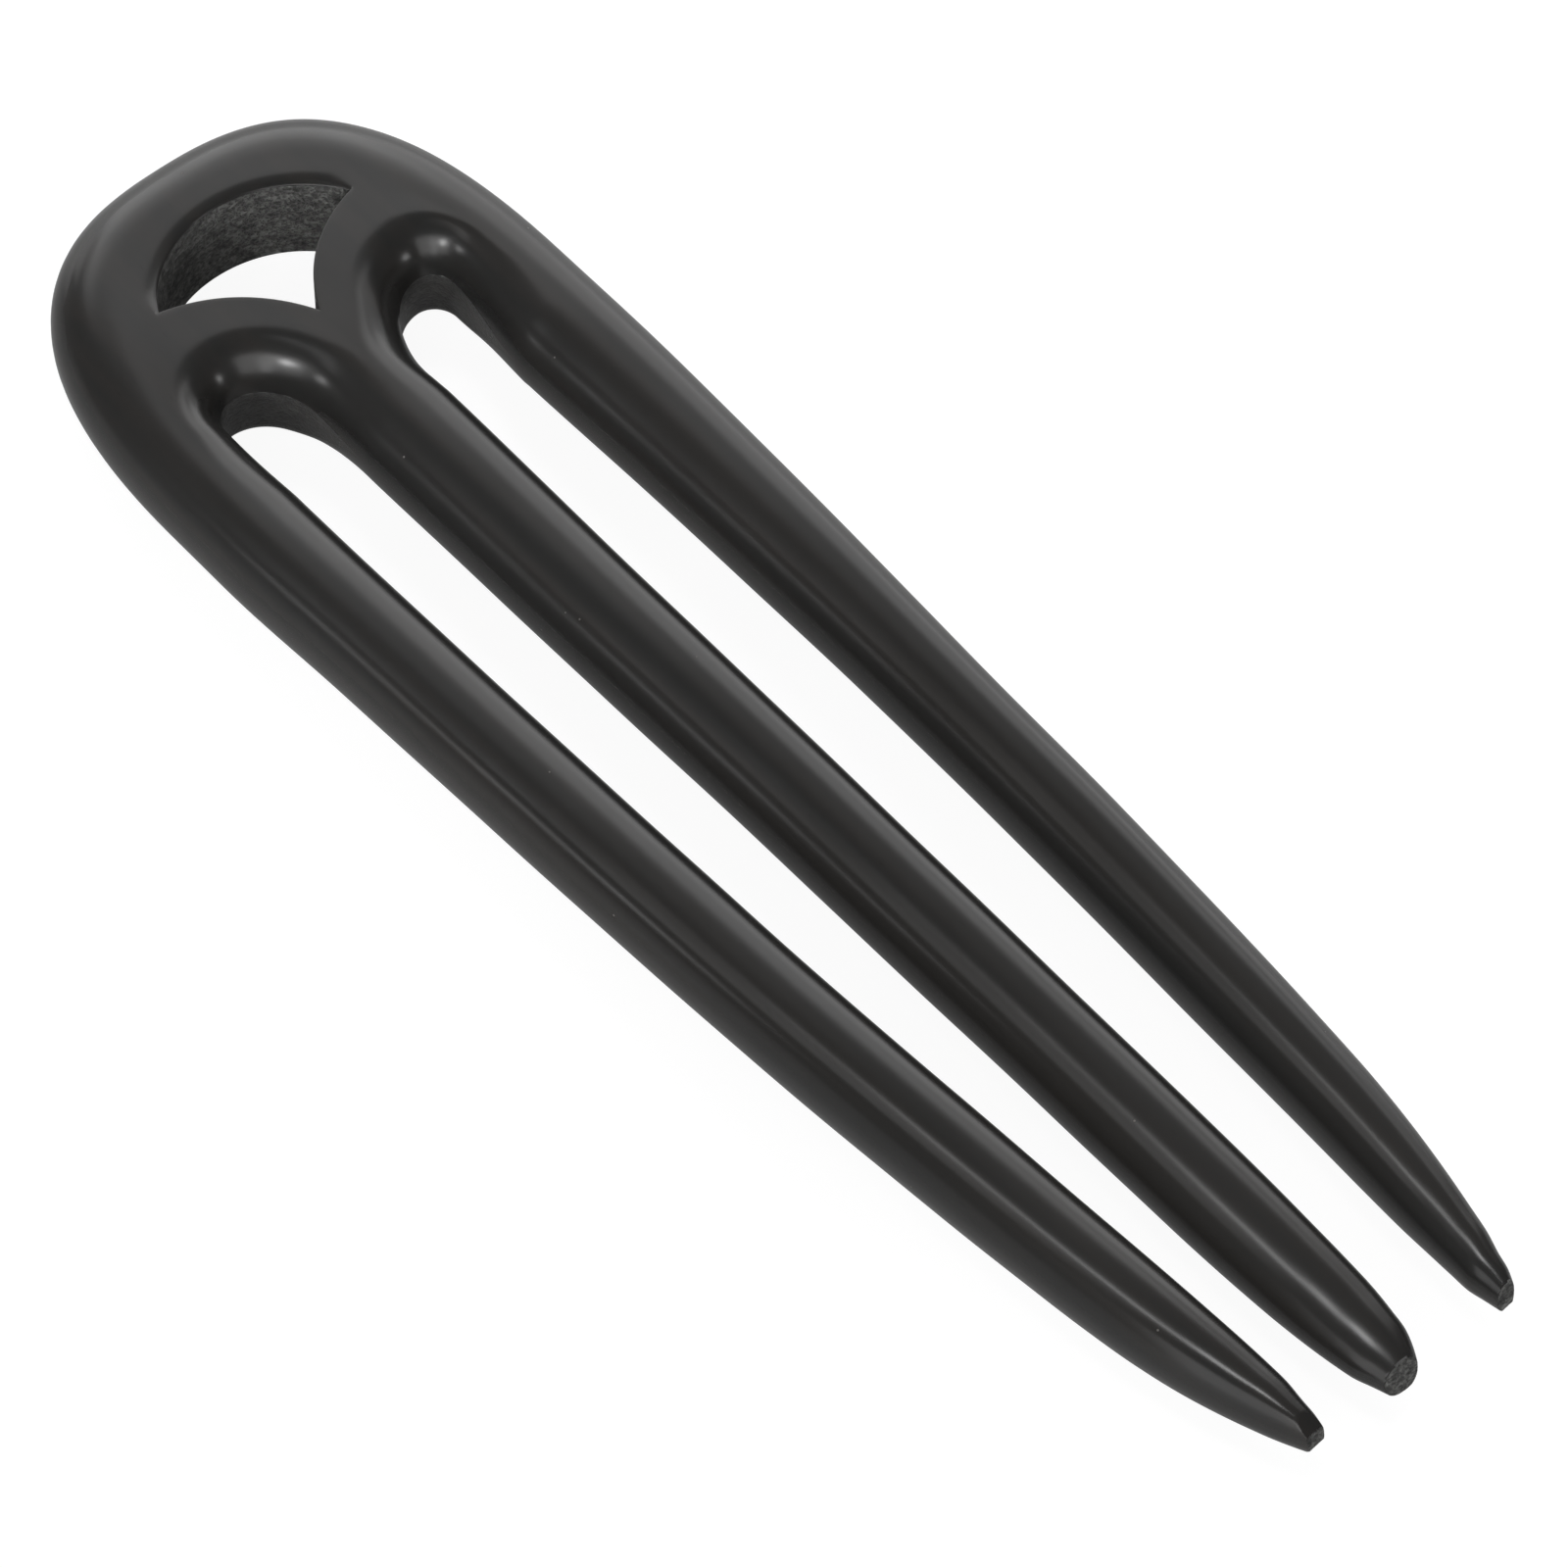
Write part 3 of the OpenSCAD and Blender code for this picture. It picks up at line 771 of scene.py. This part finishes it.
def mix_value(tree, factor, a, b):
    """Straight line from a to b by the factor."""
    return add(tree, "Mix", data_type="FLOAT", inputs={0: factor, 2: a, 3: b}).outputs[0]


def mix_colour(tree, factor, a, b):
    """Straight line from colour a to colour b by the factor."""
    return add(tree, "Mix", data_type="RGBA", inputs={0: factor, 6: a, 7: b}).outputs[2]


def bump(tree, size, height, below=None):
    """Normal of a surface with a bump of a given size, laid over the normal below it if there is one."""
    inputs = {"Strength": size[0], "Distance": size[1], "Height": height}
    if below is not None:
        inputs["Normal"] = below
    return add(tree, "Bump", inputs=inputs).outputs[0]


def grain_group():
    """Straight grain: long soft streaks, fine fibres and short dark pores, all running along Y."""
    group, given, out = new_group(
        "Wood Grain",
        [("Vector", "Vector", None), ("Pores", "Float", PORE_SHARE)],
        [("Streaks", "Float"), ("Fibres", "Float"), ("Pores", "Float"), ("Height", "Float")])
    vector = given.outputs["Vector"]
    streaks = between(group, stretched_noise(group, vector, STREAK_SCALE, Detail=1.5), STREAK_RANGE)
    fibres = stretched_noise(group, vector, FIBRE_SCALE, Detail=3.0, Roughness=0.6)
    spots = stretched_noise(group, vector, PORE_SCALE, Detail=1.0)
    pores = maths(group, "MULTIPLY", between(group, spots, PORE_RANGE), given.outputs["Pores"])
    height = maths(group, "SUBTRACT", maths(group, "MULTIPLY", fibres, FIBRE_HEIGHT), pores)
    for label, socket in (("Streaks", streaks), ("Fibres", fibres), ("Pores", pores), ("Height", height)):
        group.links.new(socket, out.inputs[label])
    return group


def sawn_group():
    """Sawn and filed wood: irregular pits in a lumpy ground, with pale fluff between them, whose paleness
    is partly painted light.
    """
    group, given, out = new_group(
        "Sawn Wood", [("Vector", "Vector", None)],
        [("Tone", "Float"), ("Height", "Float")])
    vector = given.outputs["Vector"]
    lumps = stretched_noise(group, vector, LUMP_SCALE, Detail=5.0, Roughness=0.7)
    fine = stretched_noise(group, vector, PIT_SCALE, Detail=3.0, Roughness=0.6)
    pits = between(group, fine, PIT_RANGE)
    pit_tone = mix_value(group, pits, PIT_TONE, 1.0)
    tone = maths(group, "MULTIPLY", between(group, lumps, LUMP_RANGE), pit_tone)
    height = maths(group, "ADD", maths(group, "MULTIPLY", pits, PIT_HEIGHT), lumps)
    group.links.new(tone, out.inputs["Tone"])
    group.links.new(height, out.inputs["Height"])
    return group


def dust_group():
    """Sparse pale specks: the innermost parts of a few cells of a fine Voronoi pattern."""
    group, given, out = new_group(
        "Dust Specks",
        [("Vector", "Vector", None), ("Amount", "Float", DUST_SHARE)],
        [("Specks", "Float")])
    cells = add(group, "TexVoronoi", inputs={"Vector": given.outputs["Vector"], "Scale": DUST_CELLS})
    dot = maths(group, "LESS_THAN", cells.outputs["Distance"], SPECK_RADIUS)
    chance = maths(group, "FRACT", maths(group, "MULTIPLY", cells.outputs["Color"], DUST_SHUFFLE))
    chosen = maths(group, "LESS_THAN", chance, given.outputs["Amount"])
    group.links.new(maths(group, "MULTIPLY", dot, chosen), out.inputs["Specks"])
    return group


def use_group(tree, group, **inputs):
    """Places a node group in a material with its own values."""
    node = tree.nodes.new("ShaderNodeGroup")
    node.node_tree = group
    return feed(tree, node, inputs)


def polished_wood(finish):
    """Dark ebony-like wood, polished, with matte sawn walls, cut tips and a few specks of dust."""
    material = bpy.data.materials.new("dark_polished_wood")
    material.use_nodes = True
    tree = material.node_tree
    shader = tree.nodes["Principled BSDF"]
    vector = add(tree, "TexCoord").outputs["Object"]
    sawn = add(tree, "Attribute", attribute_name="sawn").outputs["Fac"]
    cut = add(tree, "Attribute", attribute_name="cut").outputs["Fac"]
    rough = maths(tree, "MAXIMUM", sawn, cut)
    grain = use_group(tree, grain_group(), Vector=vector, Pores=PORE_SHARE).outputs
    walls = use_group(tree, sawn_group(), Vector=vector).outputs
    specks = use_group(tree, dust_group(), Vector=vector, Amount=DUST_SHARE).outputs["Specks"]

    heart = mix_colour(tree, grain["Streaks"], (*finish.dark, 1), (*finish.brown, 1))
    pored = mix_colour(tree, grain["Pores"], heart, (*finish.pore, 1))
    # Sawn walls and cut tips: the pale tone is partly the sawn wood's own colour and partly painted light,
    # raised to stand in for light falling on the walls
    matte = mix_colour(tree, walls["Tone"], (*finish.wall_dark, 1), (*finish.wall_pale_and_lit, 1))
    body = mix_colour(tree, rough, pored, matte)
    dusty = mix_colour(tree, specks, body, (*finish.dust, 1))
    tree.links.new(dusty, shader.inputs["Base Color"])

    patches = maths(tree, "SUBTRACT", stretched_noise(tree, vector, PATCH_SCALE, Detail=3.0), 0.5)
    polish = maths(tree, "ADD", finish.roughness, maths(tree, "MULTIPLY", patches, PATCH_ROUGHNESS))
    polish = maths(tree, "ADD", polish, maths(tree, "MULTIPLY", grain["Fibres"], FIBRE_ROUGHNESS))
    sawn_polish = mix_value(tree, rough, polish, SAWN_ROUGHNESS)
    tree.links.new(mix_value(tree, specks, sawn_polish, DUST_ROUGHNESS), shader.inputs["Roughness"])

    fine = bump(tree, GRAIN_BUMP, grain["Height"])
    pitted = bump(tree, SAWN_BUMP, maths(tree, "MULTIPLY", walls["Height"], rough), fine)
    tree.links.new(bump(tree, SPECK_BUMP, specks, pitted), shader.inputs["Normal"])
    return material


# Stage: the floor's roughness, and its reach and its drop under the fork in millimetres
FLOOR_ROUGHNESS = 0.25
FLOOR_REACH = 3000.0
FLOOR_DROP = 0.02
# Width of the camera's sensor in millimetres, and the distances in metres between which it sees
SENSOR_WIDTH = 36.0
CLIP_NEAR, CLIP_FAR = 0.05, 20.0


def floor_material(stage):
    """A pale floor, which the camera alone sees lifted towards white, with only a faint shadow."""
    material = bpy.data.materials.new("pale_floor")
    material.use_nodes = True
    tree = material.node_tree
    shader = tree.nodes["Principled BSDF"]
    shader.inputs["Roughness"].default_value = FLOOR_ROUGHNESS
    seen = add(tree, "LightPath").outputs["Is Camera Ray"]
    plain, lifted = stage.floor_tone, stage.shadow_tone
    tone = mix_colour(tree, seen, (plain, plain, plain, 1), (lifted, lifted, lifted, 1))
    tree.links.new(tone, shader.inputs["Base Color"])
    shader.inputs["Emission Color"].default_value = (1, 1, 1, 1)
    glow = mix_value(tree, seen, stage.floor_glow, stage.floor_lift)
    tree.links.new(glow, shader.inputs["Emission Strength"])
    return material


def soft_light(name, bearing, elevation, width, height, radiance, roll, aim, distance, spread):
    """A soft box that faces its aim: its power is radiance times pi times its area.

    Width and height are angles in degrees as seen from the aim, and roll turns it about its own axis.
    A spread below 180 degrees stands for a grid on the box, which hides it outside that cone. The
    power is then multiplied by 1 - h / tan(h), h being half the spread, to keep the same radiance.
    """
    data = bpy.data.lights.new(name, "AREA")
    data.shape = "RECTANGLE"
    data.size = 2 * distance * math.tan(math.radians(width / 2))
    data.size_y = 2 * distance * math.tan(math.radians(height / 2))
    data.spread = math.radians(spread)
    data.energy = radiance * math.pi * data.size * data.size_y
    if spread < OPEN_SPREAD:
        data.energy *= 1 - data.spread / 2 / math.tan(data.spread / 2)
    light = bpy.data.objects.new(name, data)
    bpy.context.scene.collection.objects.link(light)
    towards = Vector(heading(bearing, elevation))
    turn = towards.to_track_quat("Z", "Y").to_matrix() @ Matrix.Rotation(math.radians(roll), 3, "Z")
    light.matrix_world = turn.to_4x4()
    light.location = Vector(aim) + towards * distance
    light.visible_camera = False


# Points that the lights face, in metres: the middle of the fork, the top of its head, its slot tops
# and its tips
MIDDLE = (0.0, 0.0, 0.0)
CROWN = (0.0, 0.066, 0.009)
HEAD = (-0.003, 0.058, 0.008)
TIPS = (-0.003, -0.072, 0.007)
# Their distances in metres, and how wide they shine in degrees, without a grid and with one
CLOSE, NEAR, FAR = 0.22, 0.6, 2.0
OPEN_SPREAD, GRID_SPREAD, CROWN_SPREAD = 180.0, 17.0, 12.0

SOFT_LIGHTS = [
    # name, bearing, elevation, width and height in degrees, radiance, roll, aim, distance, spread
    ("back_low", 56.0, 5.0, 90.0, 12.0, 1.0, 0.0, MIDDLE, FAR, OPEN_SPREAD),
    ("back_wide", 56.0, 20.0, 72.0, 18.0, 1.2, 0.0, MIDDLE, FAR, OPEN_SPREAD),
    ("back_core", 62.0, 26.0, 28.0, 22.0, 1.6, 0.0, MIDDLE, FAR, OPEN_SPREAD),
    ("back_high", 58.0, 38.0, 52.0, 14.0, 1.1, 0.0, MIDDLE, FAR, OPEN_SPREAD),
    ("back_step", 48.0, 46.5, 56.0, 7.0, 0.9, 0.0, MIDDLE, FAR, OPEN_SPREAD),
    ("back_top", 54.0, 52.0, 42.0, 14.0, 0.9, 0.0, CROWN, NEAR, CROWN_SPREAD),
    ("back_right", 28.0, 27.0, 40.0, 38.0, 0.8, 0.0, MIDDLE, FAR, OPEN_SPREAD),
    ("left_soft_box", -158.0, 22.0, 46.0, 44.0, 1.3, 0.0, MIDDLE, FAR, OPEN_SPREAD),
    ("left_front", -125.0, 30.0, 50.0, 40.0, 1.5, 0.0, MIDDLE, FAR, OPEN_SPREAD),
    ("strip_low", 146.5, 51.0, 10.0, 14.0, 1.2, 18.5, MIDDLE, FAR, OPEN_SPREAD),
    ("strip_high", 136.0, 64.0, 10.0, 14.0, 1.2, 27.0, MIDDLE, FAR, OPEN_SPREAD),
    ("head_window", -165.0, 30.0, 24.0, 11.0, 30.0, 0.0, HEAD, CLOSE, GRID_SPREAD),
    ("head_side", 162.0, 22.0, 32.0, 11.0, 10.0, 0.0, HEAD, CLOSE, GRID_SPREAD),
    ("head_fill", -60.0, 12.0, 22.0, 20.0, 9.0, 0.0, HEAD, CLOSE, GRID_SPREAD),
    ("tips_tail", 112.0, 73.0, 10.0, 16.0, 8.5, 0.0, TIPS, NEAR, GRID_SPREAD),
    ("tips_overhead", 90.0, 87.0, 20.0, 13.0, 18.0, 0.0, TIPS, CLOSE, GRID_SPREAD),
]


def view_camera(stage):
    """Looks at the fork from a bearing and an elevation, upright, with the lens of the photograph."""
    data = bpy.data.cameras.new("view")
    data.sensor_width = SENSOR_WIDTH
    data.lens = stage.lens
    data.clip_start, data.clip_end = CLIP_NEAR, CLIP_FAR
    camera = bpy.data.objects.new("view", data)
    bpy.context.scene.collection.objects.link(camera)
    bearing, tilt = stage.view_bearing, stage.view_tilt
    level = math.cos(tilt)
    back = Vector((math.sin(bearing) * level, -math.cos(bearing) * level, math.sin(tilt)))
    right = Vector((math.cos(bearing), math.sin(bearing), 0.0))
    up = back.cross(right)
    camera.matrix_world = Matrix((right, up, back)).transposed().to_4x4()
    camera.location = Vector(stage.target) + back * stage.view_distance
    bpy.context.scene.camera = camera


def pale_world(stage):
    """Even light all round."""
    world = bpy.data.worlds.new("studio")
    world.use_nodes = True
    background = world.node_tree.nodes["Background"]
    background.inputs["Color"].default_value = (1, 1, 1, 1)
    background.inputs["Strength"].default_value = stage.ambient
    bpy.context.scene.world = world


class HairForkShape(bpy.types.PropertyGroup):
    """How the surface is finished by hand."""
    carving_depth: FloatProperty(name="Carving depth", description="Height of the slow waves of the knife",
                                 default=0.00003, min=0.0, max=0.0005, unit="LENGTH", precision=6)
    crease_angle: FloatProperty(name="Crease angle", description="Edges sharper than this stay crisp",
                                default=math.radians(32), min=0.0, max=math.pi, subtype="ANGLE")


class HairForkFinish(bpy.types.PropertyGroup):
    """Colours and polish of the wood."""
    dark: FloatVectorProperty(name="Dark wood", description="Colour of the darker streaks",
                              default=(0.0245, 0.0242, 0.0235), size=3, subtype="COLOR", min=0, max=1)
    brown: FloatVectorProperty(name="Brown wood", description="Colour of the paler streaks",
                               default=(0.0300, 0.0280, 0.0262), size=3, subtype="COLOR", min=0, max=1)
    pore: FloatVectorProperty(name="Pores", description="Colour inside the pores",
                              default=(0.016, 0.0155, 0.015), size=3, subtype="COLOR", min=0, max=1)
    wall_dark: FloatVectorProperty(name="Sawn wood, dark", description="Darker tone of the sawn walls",
                                   default=(0.022, 0.022, 0.021), size=3, subtype="COLOR", min=0, max=1)
    # Pale sawn tone: partly the wood's own colour, partly painted light that stands in for light on the
    # sawn walls
    wall_pale_and_lit: FloatVectorProperty(name="Sawn wood, pale", description="Paler tone of the sawn walls",
                                   default=(0.240, 0.240, 0.230), size=3, subtype="COLOR", min=0, max=1)
    dust: FloatVectorProperty(name="Dust", description="Colour of the dust specks",
                              default=(0.16, 0.15, 0.14), size=3, subtype="COLOR", min=0, max=1)
    roughness: FloatProperty(name="Polish", description="Roughness of the polished wood",
                             default=0.23, min=0.0, max=1.0, subtype="FACTOR")


class HairForkStage(bpy.types.PropertyGroup):
    """Floor, light and view."""
    floor_tone: FloatProperty(name="Floor", description="How pale the floor is in the fork's polish",
                              default=0.35, min=0, max=1, subtype="FACTOR")
    shadow_tone: FloatProperty(name="Shadow", description="How strongly the camera sees floor shadows",
                               default=0.15, min=0, max=1, subtype="FACTOR")
    floor_lift: FloatProperty(name="Floor lift", description="Light that the camera sees the floor give",
                              default=0.93, min=0, max=2)
    floor_glow: FloatProperty(name="Floor glow", description="Light that the fork gets from the floor",
                              default=0.18, min=0, max=2)
    ambient: FloatProperty(name="Ambient light", description="Even light from all round",
                           default=0.09, min=0, max=5)
    lens: FloatProperty(name="Lens", description="Focal length", default=202.5, min=10, max=400,
                        subtype="DISTANCE_CAMERA")
    view_bearing: FloatProperty(name="View bearing", description="Turn of the view about the upright axis",
                                default=math.radians(-40.52), subtype="ANGLE")
    view_tilt: FloatProperty(name="View tilt", description="Angle of the view above the floor",
                             default=math.radians(54.0), subtype="ANGLE")
    view_distance: FloatProperty(name="View distance", description="From the fork to the camera",
                                 default=0.74436, min=0.1, unit="LENGTH")
    target: FloatVectorProperty(name="Target", description="Point that the camera looks at",
                                default=(-0.000052, -0.004117, 0.0048), size=3, subtype="TRANSLATION")


class HAIRFORK_OT_carve(bpy.types.Operator):
    """Carves the fork and finishes its wood"""
    bl_idname = "hairfork.carve"
    bl_label = "Carve the fork"

    def execute(self, context):
        fork = build_fork(context.scene.hairfork_shape)
        fork.data.materials.append(polished_wood(context.scene.hairfork_finish))
        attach(fork, BODY)
        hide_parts(NODE)
        return {"FINISHED"}


class HAIRFORK_OT_stage(bpy.types.Operator):
    """Lays the floor, hangs the soft lights and places the camera"""
    bl_idname = "hairfork.stage"
    bl_label = "Set the stage"

    def execute(self, context):
        stage = context.scene.hairfork_stage
        signs = ((-1, -1), (1, -1), (1, 1), (-1, 1))
        corners = np.array([[x * FLOOR_REACH, y * FLOOR_REACH, -FLOOR_DROP] for x, y in signs])
        floor = put_mesh("floor", corners, np.array([[0, 1, 2, 3]]), {})
        floor.data.materials.append(floor_material(stage))
        for light in SOFT_LIGHTS:
            soft_light(*light)
        pale_world(stage)
        view_camera(stage)
        context.scene.view_settings.view_transform = "Standard"
        return {"FINISHED"}


class HAIRFORK_PT_panel(bpy.types.Panel):
    """Buttons and values of the hair fork"""
    bl_idname = "HAIRFORK_PT_panel"
    bl_label = "Hair fork"
    bl_space_type = "VIEW_3D"
    bl_region_type = "UI"
    bl_category = "Hair fork"

    def draw(self, context):
        layout = self.layout
        scene = context.scene
        for title, values in (("Shape", scene.hairfork_shape), ("Finish", scene.hairfork_finish),
                              ("Stage", scene.hairfork_stage)):
            box = layout.box()
            box.label(text=title)
            for key in values.__annotations__:
                box.prop(values, key)
        layout.operator(HAIRFORK_OT_carve.bl_idname)
        layout.operator(HAIRFORK_OT_stage.bl_idname)


CLASSES = (HairForkShape, HairForkFinish, HairForkStage,
           HAIRFORK_OT_carve, HAIRFORK_OT_stage, HAIRFORK_PT_panel)


def register():
    for cls in CLASSES:
        bpy.utils.register_class(cls)
    bpy.types.Scene.hairfork_shape = PointerProperty(type=HairForkShape)
    bpy.types.Scene.hairfork_finish = PointerProperty(type=HairForkFinish)
    bpy.types.Scene.hairfork_stage = PointerProperty(type=HairForkStage)


def unregister():
    del bpy.types.Scene.hairfork_stage
    del bpy.types.Scene.hairfork_finish
    del bpy.types.Scene.hairfork_shape
    for cls in reversed(CLASSES):
        bpy.utils.unregister_class(cls)


def main():
    register()
    bpy.ops.hairfork.carve()
    bpy.ops.hairfork.stage()


if __name__ == "__main__":
    main()
